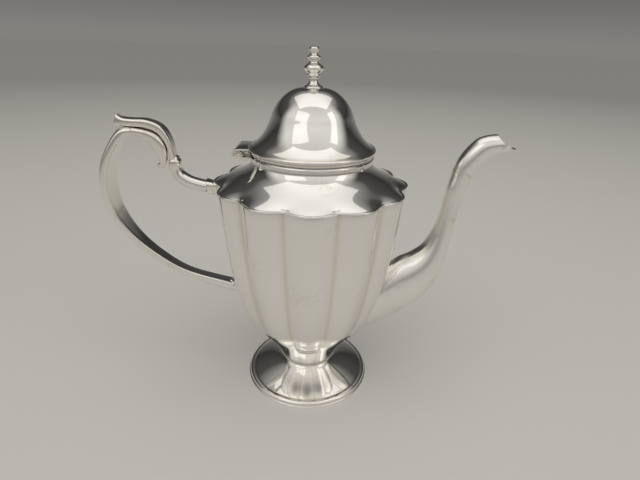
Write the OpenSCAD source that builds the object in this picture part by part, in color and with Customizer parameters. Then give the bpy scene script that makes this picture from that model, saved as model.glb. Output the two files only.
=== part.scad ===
// Pedestal coffee pot in silver plate: a twelve-lobed bowl on a spun foot, a round
// cavetto shoulder and neck, a hinged ogee lid with a turned finial, a swan-neck
// spout and a scrolled handle.
// Millimetres. The origin is the centre of the foot on the table, +Z is up, the
// spout points along +X and the handle along -X.

/* [Foot] */
// Diameter of the foot where it stands on the table
foot_d = 99; // [84:1:112]
// Height of the waist, where the foot meets the bowl
foot_h = 16; // [13:0.5:20]
// Diameter of the waist
waist_d = 41; // [34:1:46]
// Width of the moulded band round the foot's edge
band_w = 5; // [3.5:0.5:7]
// Height of that band
band_h = 4.4; // [3:0.2:6]
// Thickness of the spun foot
foot_wall = 1; // [0.8:0.1:1.4]

/* [Bowl] */
// Number of lobes round the bowl
lobes = 12; // [8:2:16]
// Diameter of the bowl's top edge over the crowns of the lobes
edge_d = 137; // [116:1:164]
// Height of the bowl from its waist to its top edge
bowl_h = 149; // [124:1:172]
// Depth of the creases between lobes at the top edge
lobe_depth = 5; // [2:0.5:7]
// Thickness of the bowl and of the shoulder
body_wall = 1.2; // [0.8:0.1:1.8]
// Diameter of the port through the wall behind the spout
port_d = 20; // [12:1:22]

/* [Shoulder and neck] */
// Outside diameter of the round neck
neck_d = 83; // [70:1:90]
// Height of the shoulder's sweep from the bowl's edge to the neck
shoulder_h = 16.5; // [13:0.5:22]
// Height of the straight neck above the sweep
neck_h = 5.5; // [4.8:0.1:8]
// Radius of the bead round the neck
neck_bead_r = 1.6; // [1:0.1:2]

/* [Lid] */
// Overhang of the lid's rim bead beyond the neck
lid_overhang = 2.5; // [1.8:0.1:4]
// Height of the lid's rim bead
lid_rim_h = 3.8; // [3:0.1:5]
// Height of the ogee dome above the rim
dome_h = 38; // [32:1:44]
// Thickness of the lid
lid_wall = 1; // [0.8:0.1:1.4]
// Gap between the closed lid and the neck
lid_gap = 0.3; // [0.2:0.05:0.6]
// Depth of the bezel that centres the lid in the neck
bezel_h = 6; // [4:0.5:8]
// Gap between the bezel and the neck all round
bezel_gap = 0.8; // [0.6:0.1:1.2]

/* [Finial] */
// Height of the turned finial above the dome
finial_h = 25; // [20:0.5:31]
// Diameter of its widest bulge
bulge_d = 13; // [10:0.5:16]
// Diameter of the stud that holds the finial
stud_d = 4; // [3:0.5:5]
// Width across the flats of the nut inside the lid
nut_af = 7; // [6:0.5:10]
// Thickness of that nut
nut_h = 2.4; // [2:0.2:4]

/* [Hinge] */
// Length of the hinge along its pin
hinge_len = 26; // [20:1:32]
// Diameter of the knuckles
barrel_d = 6.2; // [5:0.2:7]
// Diameter of the hinge pin
pin_d = 2.5; // [1.5:0.1:3]
// Clearance of the pin in the lid's knuckle, on the radius
pin_gap = 0.05; // [0.02:0.01:0.1]
// Gap between pieces that turn past each other
hinge_gap = 0.3; // [0.2:0.05:0.5]
// Distance from the lid's bead out to the pin
hinge_reach = 4.9; // [4.4:0.1:7]
// Thickness of the plate over the knuckles
plate_t = 1.2; // [0.8:0.1:1.6]

/* [Spout] */
// Reach of the pouring lip beyond the bowl's crown at the root
spout_reach = 88; // [74:1:104]
// Width of the root where it is soldered to the bowl
root_w = 27.2; // [22:0.2:30]
// Height of the pouring lip above the pot's mouth
lip_over = 6; // [2:0.5:12]
// Height of the middle of the spout's root above the waist
spout_root = 52; // [46:1:60]
// Height of the root where it is soldered to the bowl
root_h = 60; // [48:1:68]
// Thickness of the spout
spout_wall = 1; // [0.8:0.1:1.4]

/* [Handle] */
// Reach of the handle beyond the bowl's edge
handle_reach = 84; // [70:1:100]
// Drop of the handle's upper end below the bowl's edge
handle_drop = 6; // [5:0.5:9]
// Height from the handle's lower end on the bowl to its upper end
handle_span = 80; // [66:1:96]
// Height of the thumb scroll's crest above the handle's upper end
handle_crest = 49; // [44:1:52]
// Width of the grip across the hand
grip_w = 20; // [16:0.5:24]

/* [Hidden] */
$fn = 96;
plate = [0.80, 0.79, 0.76];
brass = [0.72, 0.60, 0.36];

// Small fixed details
plate_drop = 0.7;                   // hinge plate below the top of the lid's rim
bead_drop = 0.7;                    // neck bead below the mouth
flange_t = 1.1;                     // thin flanges at the foot and under the lid's rim
flange_out = 0.8;                   // how far those flanges stand out
foot_lift = 0.4;                    // spun foot above the table, inside its band
washer_t = 0.8;
washer_out = 1.5;                   // washer beyond the flats of the nut
stud_gap = 0.05;                    // around the stud in the lid and washer
stud_end = 1.2;                     // stud beyond the nut
finial_seat = 6.6;                  // radius of the flat under the finial

// Heights and radii that follow from the driving sizes
edge_z = foot_h + bowl_h;
edge_r = edge_d / 2;
waist_r = waist_d / 2;
foot_r = foot_d / 2;
neck_r = neck_d / 2;
neck_z = edge_z + shoulder_h;
mouth_z = neck_z + neck_h;
lid_z = mouth_z + lid_gap;
dome_z = lid_z + lid_rim_h;
top_z = dome_z + dome_h;
lid_r = neck_r + lid_overhang;
bezel_r = neck_r - body_wall - bezel_gap;
barrel_r = barrel_d / 2;
hinge_x = -(lid_r + hinge_reach);
plate_z = lid_z + lid_rim_h - plate_t - plate_drop;
hinge_z = plate_z - hinge_gap - barrel_r;
around = lobes * 8;

// --- Curves ---------------------------------------------------------------

// Point at t on a cubic Bezier with the four control points p
function bez(p, t) = pow(1 - t, 3) * p[0] + 3 * pow(1 - t, 2) * t * p[1]
                   + 3 * (1 - t) * t * t * p[2] + t * t * t * p[3];
function curve(p, n) = [for (i = [0 : n]) bez(p, i / n)];

// Catmull-Rom spline through the stations s, with n steps between two of them
function mix(a, b, c, d, t) = 0.5 * (2 * b + (c - a) * t
    + (2 * a - 5 * b + 4 * c - d) * t * t + (3 * b - a - 3 * c + d) * t * t * t);
function spline(s, n) = let (m = len(s) - 1)
    [for (i = [0 : m - 1], j = [0 : n - 1])
        mix(s[max(i - 1, 0)], s[i], s[i + 1], s[min(i + 2, m)], j / n),
     s[m]];

function reversed(v) = [for (i = [len(v) - 1 : -1 : 0]) v[i]];

// The outline p moved sideways by d, to the left of its direction
function moved(p, d) = [for (i = [0 : len(p) - 1])
    let (a = p[max(i - 1, 0)], b = p[min(i + 1, len(p) - 1)], v = (b - a) / norm(b - a))
    p[i] + d * [-v[1], v[0]]];

// --- Skins ----------------------------------------------------------------

// Side faces between two rings of n points that start at points a and b
function band(a, b, n) = [for (k = [0 : n - 1])
    let (l = (k + 1) % n) each [[a + k, b + k, b + l], [a + k, b + l, a + l]]];

// Closed solid through a list of rings. Each end is a fan round the middle of its
// ring, or the two ends meet as a torus.
function middle(ring) = [for (i = [0 : 2]) [for (p = ring) p[i]] * [for (p = ring) 1]] / len(ring);
module skin(rings, torus = false) {
    n = len(rings[0]);
    m = len(rings);
    sides = [for (i = [0 : m - 2]) each band(i * n, (i + 1) * n, n)];
    ends = torus ? band((m - 1) * n, 0, n)
                 : [for (k = [0 : n - 1]) let (l = (k + 1) % n)
                    each [[m * n, k, l], [m * n + 1, (m - 1) * n + l, (m - 1) * n + k]]];
    points = [for (r = rings) each r];
    polyhedron(torus ? points : concat(points, [middle(rings[0]), middle(rings[m - 1])]),
               concat(sides, ends), convexity = 8);
}

// Tube of oval sections. A station is [x, z, half thickness, half width]: its centre
// in the plane of the handle and spout, and its size across and along Y.
function oval_ring(s, way, n) = [for (k = [0 : n - 1])
    let (u = 360 * k / n)
    [s[0] - way[1] * s[2] * cos(u), s[3] * sin(u), s[1] + way[0] * s[2] * cos(u)]];
function oval_rings(s, n) = [for (i = [0 : len(s) - 1])
    let (a = s[max(i - 1, 0)], b = s[min(i + 1, len(s) - 1)],
         d = [b[0] - a[0], b[1] - a[1]])
    oval_ring(s[i], d / norm(d), n)];
module bar(stations, steps = 3, sides = 14) {
    skin(oval_rings(spline(stations, steps), sides));
}

// --- Bowl and shoulder ----------------------------------------------------

// 1 on the crown of a lobe and 0 in the crease beside it
function lobe(angle) = pow(abs(cos(lobes * angle / 2)), 1.25);

// Outline of the bowl over the crowns, as [radius, height]
bowl_line = [[waist_r, foot_h],
             [0.50 * edge_r, foot_h + 0.305 * bowl_h],
             [0.835 * edge_r, foot_h + 0.06 * bowl_h],
             [edge_r, edge_z]];
function bowl_t(z, low = 0, high = 1, n = 24) = let (t = (low + high) / 2)
    n == 0 ? t : bez(bowl_line, t)[1] < z ? bowl_t(z, t, high, n - 1)
                                          : bowl_t(z, low, t, n - 1);
function bowl_r(z) = bez(bowl_line, bowl_t(z))[0];

// Depth of the creases where the crowns have the radius r: none at the waist
function crease(r) = lobe_depth * max(0, (r - waist_r) / (edge_r - waist_r));
function lobed(r, depth, angle) = r - depth * (1 - lobe(angle));
function lobed_ring(r, z, depth) = [for (k = [0 : around - 1])
    let (angle = 360 * k / around, q = lobed(r, depth, angle))
    [q * cos(angle), q * sin(angle), z]];

// Point of the bowl's outer surface at [y, z] on the side of sign 1 (+X) or -1 (-X)
function on_bowl(y, z, side = 1) =
    let (r = bowl_r(z), angle = asin(y / r), q = lobed(r, crease(r), angle))
    [side * sqrt(max(q * q - y * y, 1)), y, z];

// Shoulder from the bowl's edge in to the neck, and the straight neck above it
shoulder_line = concat(
    curve([[edge_r, edge_z], [edge_r - 11, edge_z + 3.2],
           [neck_r + 2.5, edge_z + 6], [neck_r, neck_z]], 9),
    [[neck_r, mouth_z]]);
// Depth of the creases on it: they run out a little way in from the edge
function shoulder_crease(z) = lobe_depth * pow(max(0, (neck_z - z) / shoulder_h), 7);

module bowl() {
    outer = curve(bowl_line, 16);
    inner = [for (p = moved(outer, body_wall)) [p[0], min(p[1], edge_z)]];
    floor_z = foot_h + body_wall;
    rings = concat(
        [for (p = outer) lobed_ring(p[0], p[1], crease(p[0]))],
        [for (p = reversed(inner)) lobed_ring(p[0], max(p[1], floor_z), crease(p[0]))]);
    port_z = foot_h + spout_root;
    color(plate) difference() {
        skin(rings);
        translate([bowl_r(port_z) / 2, 0, port_z]) rotate([0, 90, 0])
            cylinder(d = port_d, h = bowl_r(port_z));
    }
}

module shoulder() {
    inner = moved(shoulder_line, body_wall);
    outside = [for (p = shoulder_line) lobed_ring(p[0], p[1], shoulder_crease(p[1]))];
    inside = [for (i = [0 : len(inner) - 1])
        lobed_ring(inner[i][0], max(inner[i][1], edge_z), shoulder_crease(shoulder_line[i][1]))];
    color(plate) skin(concat(outside, reversed(inside)), torus = true);
}

module neck_bead() {
    bead_z = mouth_z - neck_bead_r - bead_drop;
    color(plate) rotate_extrude() difference() {
        translate([neck_r, bead_z]) circle(r = neck_bead_r);
        translate([0, bead_z - 2 * neck_bead_r]) square([neck_r, 4 * neck_bead_r]);
    }
}

// --- Foot -----------------------------------------------------------------

// Outer line of the foot from the band up to the waist
foot_line = curve([[foot_r - band_w, band_h], [foot_r - band_w - 9, band_h + 4],
                   [waist_r + 3, foot_h - 4], [waist_r, foot_h]], 14);

module foot() {
    inner = [for (p = moved(foot_line, foot_wall)) [p[0], min(p[1], foot_h - foot_wall)]];
    color(plate) rotate_extrude() polygon(concat(
        [[foot_r - band_w - foot_wall, foot_lift], [foot_r - band_w, foot_lift]],
        foot_line,
        [[0, foot_h], [0, foot_h - foot_wall]],
        reversed(inner)));
}

// Band with a thin flange at the table and a rounded top
module foot_band() {
    round_h = 1.4;
    wide = band_w - flange_out;
    color(plate) rotate_extrude() translate([foot_r - band_w, 0]) union() {
        square([band_w, flange_t]);
        square([wide, band_h - round_h]);
        translate([0, band_h - round_h]) quarter_oval(wide, round_h);
    }
}
module quarter_oval(a, b) {
    polygon(concat([[0, 0]], [for (u = [0 : 7.5 : 90]) [a * cos(u), b * sin(u)]]));
}

// --- Lid ------------------------------------------------------------------

bead_h = lid_rim_h - flange_t;
seat_r = lid_r - bead_h / 2;
dome_line = concat(
    curve([[seat_r, dome_z], [seat_r - 8.5, dome_z + 2.5],
           [0.71 * lid_r, dome_z + 0.26 * dome_h], [0.62 * lid_r, dome_z + 0.54 * dome_h]], 10),
    curve([[0.62 * lid_r, dome_z + 0.54 * dome_h], [0.57 * lid_r, dome_z + 0.77 * dome_h],
           [0.32 * lid_r, top_z], [finial_seat, top_z]], 12));

module lid_dome() {
    inner = [for (p = moved(dome_line, lid_wall)) [p[0], max(p[1], dome_z)]];
    color(plate) difference() {
        rotate_extrude() polygon(concat(dome_line, [[0, top_z], [0, top_z - lid_wall]],
            reversed(inner)));
        translate([0, 0, top_z - 2 * lid_wall]) cylinder(r = stud_d / 2 + stud_gap, h = 4 * lid_wall);
    }
}

module lid_rim() {
    inside = bezel_r - lid_wall;
    color(plate) translate([0, 0, lid_z]) rotate_extrude() union() {
        translate([inside, 0]) square([lid_r - flange_out - inside, flange_t]);
        translate([inside, flange_t]) square([seat_r - inside, bead_h]);
        translate([seat_r, flange_t + bead_h / 2]) circle(r = bead_h / 2);
    }
}

module lid_bezel() {
    color(plate) translate([0, 0, lid_z - bezel_h]) difference() {
        cylinder(r = bezel_r, h = bezel_h);
        translate([0, 0, -1]) cylinder(r = bezel_r - lid_wall, h = bezel_h + 2);
    }
}

// --- Finial ---------------------------------------------------------------

// Turned outline of the finial above the dome, as [radius, height], drawn 25.5 high
finial_k = finial_h / 25.5;
bulge_r = bulge_d / 2;
finial_line = [for (p = [[6.2, 0], [6.2, 0.7], [5.2, 1.4], [3.6, 2.2], [3.1, 3.6], [3.0, 5.2],
    [3.2, 6.6], [4.4, 7.8], [4.5, 8.4], [4.1, 9.0], [bulge_r - 1.2, 10.0], [bulge_r - 0.3, 11.0],
    [bulge_r, 12.1], [bulge_r - 0.3, 13.2], [bulge_r - 1.4, 14.2], [3.6, 15.2], [3.0, 16.2],
    [3.3, 17.4], [3.6, 18.2], [4.4, 18.7], [4.5, 19.2], [4.0, 19.6], [2.6, 20.2], [2.3, 21.2],
    [2.5, 22.0], [3.1, 22.8], [3.3, 23.6], [3.2, 24.5], [2.4, 25.2], [0, 25.5]])
    [p[0], top_z + p[1] * finial_k]];

washer_z = top_z - lid_wall - washer_t;
nut_z = washer_z - nut_h;

module finial() {
    color(plate) union() {
        rotate_extrude() polygon(concat([[0, top_z]], finial_line));
        translate([0, 0, nut_z - stud_end]) cylinder(d = stud_d, h = top_z + 1 - nut_z + stud_end);
    }
}

module finial_washer() {
    color(brass) translate([0, 0, washer_z]) difference() {
        cylinder(r = nut_af / 2 + washer_out, h = washer_t);
        translate([0, 0, -1]) cylinder(r = stud_d / 2 + stud_gap, h = washer_t + 2);
    }
}

module finial_nut() {
    color(brass) translate([0, 0, nut_z]) difference() {
        cylinder(d = nut_af / cos(30), h = nut_h, $fn = 6);
        translate([0, 0, -1]) cylinder(d = stud_d, h = nut_h + 2);
    }
}

// --- Hinge ----------------------------------------------------------------

knuckle_w = hinge_len / 3;

// Solid of the section drawn in X and Z, w long and centred on Y
module along_pin(w) {
    translate([0, w / 2, 0]) rotate([90, 0, 0]) linear_extrude(w) children();
}

module hinge_pin() {
    color(plate) translate([hinge_x, 0, hinge_z]) along_pin(hinge_len) circle(d = pin_d);
}

// Bracket soldered to the neck and its bead, with the two outer knuckles
module hinge_pot_leaf() {
    low = hinge_z - barrel_r;
    web_t = 2.4;
    color(plate) difference() {
        union() {
            translate([hinge_x, 0, hinge_z]) along_pin(hinge_len) circle(r = barrel_r);
            translate([hinge_x, 0, low]) along_pin(hinge_len) square([-hinge_x - neck_r + 6, web_t]);
        }
        translate([0, 0, low - 1]) cylinder(r = neck_r, h = barrel_d + 2);
        neck_bead();
        translate([hinge_x, 0, hinge_z]) along_pin(hinge_len + 2) circle(d = pin_d);
        translate([hinge_x, 0, hinge_z]) along_pin(knuckle_w + 2 * hinge_gap)
            circle(r = barrel_r + hinge_gap);
    }
}

// Plate soldered to the lid's bead with the middle knuckle under it
module hinge_lid_leaf() {
    reach = barrel_r + hinge_gap;
    color(plate) difference() {
        union() {
            translate([hinge_x, 0, hinge_z]) along_pin(knuckle_w) circle(r = barrel_r);
            translate([hinge_x - barrel_r / 2, 0, hinge_z]) along_pin(knuckle_w)
                square([barrel_r, plate_z - hinge_z + 0.2]);
            translate([hinge_x - reach, 0, plate_z]) along_pin(hinge_len)
                square([reach - hinge_x - lid_r + 6, plate_t]);
        }
        translate([0, 0, plate_z - 1]) cylinder(r = seat_r, h = plate_t + 2);
        lid_rim();
        translate([hinge_x, 0, hinge_z]) along_pin(hinge_len + 2) circle(r = pin_d / 2 + pin_gap);
    }
}

// --- Spout ----------------------------------------------------------------

root_z = foot_h + spout_root;
root_x = bowl_r(root_z);
spout_rise = mouth_z + lip_over - root_z;
k_w = root_w / 27.2;
// Stations of the spout: [upper x, upper z, lower x, lower z, half width]. They are
// measured from the bowl's crown at the middle of the root.
spout_stations = [for (s = [
    [ 16.5,  37.5,   2.0, -19.0, 13.8],
    [ 26.0,  42.5,  25.0,  -4.5, 12.8],
    [ 34.5,  50.0,  42.0,  13.0, 11.2],
    [ 40.5,  62.5,  50.0,  33.0,  8.8],
    [ 43.5,  74.0,  52.6,  54.0,  6.9],
    [ 45.0,  84.0,  55.0,  75.0,  5.8],
    [ 46.8,  97.5,  58.2,  92.5,  5.8],
    [ 51.5, 116.0,  62.6, 108.0,  6.2],
    [ 60.5, 128.5,  70.5, 118.5,  6.5],
    [ 67.5, 132.2,  77.5, 122.0,  6.6],
    [ 74.0, 133.8,  88.0, 125.0,  6.0]])
    [root_x + s[0] * spout_reach / 88, root_z + s[1] * spout_rise / 125,
     root_x + s[2] * spout_reach / 88, root_z + s[3] * spout_rise / 125, s[4] * k_w]];

// Ring between the upper and the lower point of a station, drawn in by the wall w
function spout_ring(s, w) = let (u = [s[0], s[1]], l = [s[2], s[3]], c = (u + l) / 2,
                                 v = (u - l) / 2, k = 1 - w / norm(v))
    [for (i = [0 : 15]) let (a = 22.5 * i)
        [c[0] + k * v[0] * cos(a), (s[4] - w) * sin(a), c[1] + k * v[1] * cos(a)]];
// Root ring on the bowl's own surface
function root_ring(w) = [for (i = [0 : 15]) let (a = 22.5 * i)
    on_bowl((root_w / 2 - w) * sin(a), root_z + (root_h / 2 - w) * cos(a))];

module spout() {
    line = spline(spout_stations, 2);
    outer = concat([root_ring(0)], [for (s = line) spout_ring(s, 0)]);
    inner = concat([root_ring(spout_wall)], [for (s = line) spout_ring(s, spout_wall)]);
    color(plate) skin(concat(outer, reversed(inner)), torus = true);
}

// --- Handle ---------------------------------------------------------------

high_z = edge_z - handle_drop;
high_x = -bowl_r(high_z);
low_z = high_z - handle_span;
low_x = -bowl_r(low_z);
// A station of the handle, drawn for a reach of 84, a span of 80 and a crest of 49:
// [out from its upper end on the bowl, up from its lower end, half thickness, half width]
function grip(s) = [for (p = s)
    [high_x - p[0] * handle_reach / 84,
     p[1] < 80 ? low_z + p[1] * handle_span / 80 : high_z + (p[1] - 80) * handle_crest / 49,
     p[2], p[3] * grip_w / 20]];

module handle_loop() {
    color(plate) bar(concat(
        [[low_x - 4.5, low_z + 0.5, 4.4, 5.2]],
        grip([[ 24.5,  11.0, 3.2, 4.8], [ 45.5,  24.5, 3.2, 5.6], [ 61.8,  40.3, 3.6, 7.0],
              [ 72.6,  59.0, 3.7, 8.8], [ 76.0,  79.5, 3.4, 10.0], [ 73.6,  96.8, 3.3, 9.6],
              [ 66.4, 110.4, 3.3, 8.4], [ 59.6, 118.2, 3.4, 7.4], [ 53.0, 119.4, 2.8, 6.4]])));
}

module handle_volute() {
    color(plate) bar(grip([[ 52.8, 119.4, 2.8, 6.4], [ 45.0, 118.0, 3.2, 6.4],
        [ 39.6, 114.6, 4.6, 6.2], [ 36.3, 109.6, 4.8, 5.8], [ 34.6, 104.4, 3.8, 5.2],
        [ 34.6,  99.6, 2.7, 4.6], [ 35.6,  96.4, 2.0, 4.0], [ 37.8,  95.8, 1.6, 3.6]]));
}

module thumb_scroll() {
    color(plate) bar(grip([[ 63.4, 126.0, 3.9, 3.0], [ 60.0, 125.4, 3.1, 4.2],
        [ 54.0, 124.9, 2.8, 5.0], [ 43.0, 124.4, 2.9, 5.2], [ 34.6, 120.8, 2.9, 5.2],
        [ 29.8, 113.0, 2.3, 5.0], [ 28.1, 105.0, 2.0, 4.7], [ 27.8, 100.2, 2.2, 4.5]]));
}

module handle_arm() {
    color(plate) bar(concat(
        grip([[ 27.8, 100.6, 2.6, 4.8], [ 27.5,  95.5, 3.6, 5.0], [ 24.4,  88.6, 4.1, 5.2],
              [ 18.6,  84.6, 4.1, 5.2], [ 12.4,  82.6, 4.0, 5.2]]),
        [[high_x - 6.0, high_z + 1.2, 4.0, 5.2]]));
}

// Closed pad whose first rings lie on the bowl: loops(k) has the outline scaled by k
pad_in = [0.04, 0.5, 1];
function squared(v) = sign(v) * pow(abs(v), 0.6);

// Squared collar where the arm meets the bowl
ferrule = [5.9, 5.0, 6.2];          // half width, half height, length
function ferrule_at(u) = [ferrule[0] * squared(sin(u)), ferrule[1] * squared(cos(u))];
module handle_ferrule() {
    z = high_z + 0.3;
    color(plate) skin(concat(
        [for (k = pad_in) [for (i = [0 : 19]) let (p = k * ferrule_at(18 * i))
            on_bowl(p[0], z + p[1], -1)]],
        [[for (i = [0 : 19]) let (p = ferrule_at(18 * i))
            [high_x - ferrule[2], p[0], z + 0.9 + p[1]]]]));
}

// Flared end that seats the loop on the bowl
mount = [8.0, 8.6, 4.8];            // half width, half height, length
module handle_mount() {
    color(plate) skin(concat(
        [for (k = pad_in) [for (i = [0 : 19])
            on_bowl(k * mount[0] * sin(18 * i), low_z + k * mount[1] * cos(18 * i), -1)]],
        [for (s = [1 : 3]) [for (i = [0 : 19]) let (k = 1 - 0.18 * s,
                p = on_bowl(k * mount[0] * sin(18 * i), low_z + k * mount[1] * cos(18 * i), -1))
            [p[0] - mount[2] * s / 3, p[1], p[2] + 0.15 * s]]]));
}

foot();
foot_band();
bowl();
shoulder();
neck_bead();
lid_dome();
lid_rim();
lid_bezel();
finial();
finial_washer();
finial_nut();
hinge_pin();
hinge_pot_leaf();
hinge_lid_leaf();
spout();
handle_loop();
handle_volute();
thumb_scroll();
handle_arm();
handle_ferrule();
handle_mount();
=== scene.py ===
# %% [markdown]
# # A silver-plated pedestal coffee pot
# The real pot is made of about twenty pieces of sheet and cast metal, soldered together and
# then plated with silver. This lesson loads the engineering model of it as a fixed frame, and
# puts a smooth, finished piece over each engineering piece. Everything is in metres, with the
# foot's centre on the table at the origin, the spout along +X and the handle along -X.

# %% Load the frame
import math
import bpy
import bmesh
from mathutils import Matrix, Vector


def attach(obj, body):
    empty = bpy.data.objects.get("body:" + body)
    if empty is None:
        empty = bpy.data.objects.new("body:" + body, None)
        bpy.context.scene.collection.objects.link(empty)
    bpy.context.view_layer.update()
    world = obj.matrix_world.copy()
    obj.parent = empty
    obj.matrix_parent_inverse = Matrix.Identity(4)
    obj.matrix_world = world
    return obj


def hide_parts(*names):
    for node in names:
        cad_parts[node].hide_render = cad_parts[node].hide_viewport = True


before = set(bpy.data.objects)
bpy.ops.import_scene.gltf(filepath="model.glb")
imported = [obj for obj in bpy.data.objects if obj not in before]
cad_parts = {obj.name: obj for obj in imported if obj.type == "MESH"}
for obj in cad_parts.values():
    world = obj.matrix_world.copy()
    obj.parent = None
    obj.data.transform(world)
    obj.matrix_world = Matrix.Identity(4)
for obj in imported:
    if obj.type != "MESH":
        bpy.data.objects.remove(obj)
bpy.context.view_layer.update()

# %% [markdown]
# ## The camera
# The pot is seen from a little above and in front, 33 cm from its middle, with a wide lens.
# The camera's place and its three turns (yaw, pitch, roll) put the round rims of the foot, the
# neck and the lid where the eye sees them. A camera looks down its own -Z axis, so the matrix
# has the right, up and backward directions as its columns.

# %% Camera
MM = 0.001


def place_camera(at_mm, yaw, pitch, roll, focal_px, wide_px=640):
    ahead = Vector((math.sin(yaw) * math.cos(pitch), math.cos(yaw) * math.cos(pitch),
                    -math.sin(pitch)))
    right = Vector((math.cos(yaw), -math.sin(yaw), 0))
    up = right.cross(ahead)
    side = right * math.cos(roll) + up * math.sin(roll)
    top = up * math.cos(roll) - right * math.sin(roll)
    lens = bpy.data.cameras.new("pot_camera")
    lens.sensor_width = 36
    lens.lens = 36 * focal_px / wide_px
    lens.clip_start = 0.01
    camera = bpy.data.objects.new("pot_camera", lens)
    camera.matrix_world = Matrix((
        (side.x, top.x, -ahead.x, at_mm[0] * MM),
        (side.y, top.y, -ahead.y, at_mm[1] * MM),
        (side.z, top.z, -ahead.z, at_mm[2] * MM),
        (0, 0, 0, 1)))
    bpy.context.scene.collection.objects.link(camera)
    bpy.context.scene.camera = camera
    return camera


camera = place_camera((0, -304.83, 260.07), 0.02434, 0.43133, 0.03186, 444)
print("lens", round(camera.data.lens, 3), "mm")

# %% [markdown]
# ## The studio
# Polished silver has almost no colour of its own: it shows the room. So the room is simple and
# soft: a pale floor, and a world that is light on the side the pot is seen from and dark behind
# the pot. Softboxes make the broad highlights. The dark side of the world is what draws the
# dark outlines of the silver, as black cards do in a photographer's studio.

# %% Small helpers for colours and nodes
def srgb(code):
    """A hex colour as written in a paint chart, turned to the linear values of Blender."""
    parts = [int(code[i:i + 2], 16) / 255 for i in (1, 3, 5)]
    return tuple(v / 12.92 if v <= 0.04045 else ((v + 0.055) / 1.055) ** 2.4
                 for v in parts) + (1.0,)


def add(tree, kind, settings=None, **links):
    """Adds one node. settings are its properties. links fill its inputs with a value or a
    socket: i0 is input number 0, and any other word is the name of the input."""
    node = tree.nodes.new(kind)
    for key, value in (settings or {}).items():
        setattr(node, key, value)
    for key, value in links.items():
        socket = node.inputs[int(key[1:])] if key[0] == "i" and key[1:].isdigit() \
            else node.inputs[key.replace("_", " ")]
        if isinstance(value, bpy.types.NodeSocket):
            tree.links.new(value, socket)
        else:
            socket.default_value = value
    return node


def ramp(tree, fac, stops):
    """A colour ramp through stops of (place, hex colour)."""
    node = add(tree, "ShaderNodeValToRGB", i0=fac)
    bar = node.color_ramp
    while len(bar.elements) < len(stops):
        bar.elements.new(0.5)
    for element, (place, code) in zip(bar.elements, stops):
        element.position = place
        element.color = srgb(code)
    return node


# %% Floor, world and lamps
def make_floor():
    bm = bmesh.new()
    bmesh.ops.create_circle(bm, cap_ends=True, segments=96, radius=12.0)
    mesh = bpy.data.meshes.new("floor")
    bm.to_mesh(mesh)
    bm.free()
    floor = bpy.data.objects.new("floor", mesh)
    bpy.context.scene.collection.objects.link(floor)
    # matt emulsion, rolled on: hardly any gloss; painted light makes it palest round the pot and
    # darker away from it
    paint = bpy.data.materials.new("Matt studio floor paint")
    paint.use_nodes = True
    tree = paint.node_tree
    shader = tree.nodes["Principled BSDF"]
    shader.inputs["Roughness"].default_value = 0.75
    where = add(tree, "ShaderNodeTexCoord").outputs["Object"]
    far = add(tree, "ShaderNodeVectorMath", {"operation": "LENGTH"}, i0=where).outputs["Value"]
    # painted light: the colour falls from pale near the pot to darker towards the horizon
    painted_light_falloff = ramp(tree, add(tree, "ShaderNodeMapRange", i0=far, i1=0.25, i2=2.6).outputs[0],
                [(0, "#F0EEE9"), (0.35, "#E3E1DC"), (1, "#BEBCB8")])
    tree.links.new(painted_light_falloff.outputs[0], shader.inputs["Base Color"])
    mesh.materials.append(paint)


def make_world():
    world = bpy.data.worlds.new("studio")
    bpy.context.scene.world = world
    world.use_nodes = True
    tree = world.node_tree
    way = add(tree, "ShaderNodeTexCoord").outputs["Generated"]
    split = add(tree, "ShaderNodeSeparateXYZ", i0=way)
    skyline, overhead = "#83817E", "#CAC8C5"
    light_side = ramp(tree, split.outputs["Z"], [
        (0.0, skyline), (0.10, "#9A9896"), (0.26, "#C6C4C1"), (0.55, "#E0DEDA"), (1.0, overhead)])
    dark_side = ramp(tree, split.outputs["Z"], [
        (0.0, skyline), (0.08, "#6C6A69"), (0.30, "#353433"), (0.62, "#4A4948"), (1.0, overhead)])
    side = add(tree, "ShaderNodeMapRange", {"interpolation_type": "SMOOTHSTEP"},
               i0=split.outputs["Y"], i1=-0.25, i2=0.22)
    sky = add(tree, "ShaderNodeMix", {"data_type": "RGBA"}, i0=side.outputs[0],
              i6=light_side.outputs[0], i7=dark_side.outputs[0])
    tree.links.new(sky.outputs[2], tree.nodes["Background"].inputs["Color"])
    tree.nodes["Background"].inputs["Strength"].default_value = 1.0


def softbox(name, place, aim, wide, high, glow):
    """A flat lamp, turned to aim. glow is how bright its face looks, 1 being white."""
    lamp = bpy.data.lights.new(name, "AREA")
    lamp.shape = "RECTANGLE"
    lamp.size, lamp.size_y = wide, high
    lamp.energy = glow * math.pi * wide * high
    lamp.color = (1.0, 0.985, 0.96)
    thing = bpy.data.objects.new(name, lamp)
    thing.location = place
    thing.rotation_euler = (Vector(aim) - Vector(place)).to_track_quat("-Z", "Y").to_euler()
    bpy.context.scene.collection.objects.link(thing)


make_floor()
make_world()
softbox("key_softbox", (-0.9, -1.3, 1.5), (0, 0, 0.15), 1.2, 0.9, 0.36)
softbox("side_softbox", (1.3, -0.7, 0.9), (0, 0, 0.12), 0.45, 1.2, 0.4)
softbox("top_softbox", (0, 0.1, 1.45), (0, 0, 0), 1.6, 1.2, 0.42)
print("floor, world and three softboxes")
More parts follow.
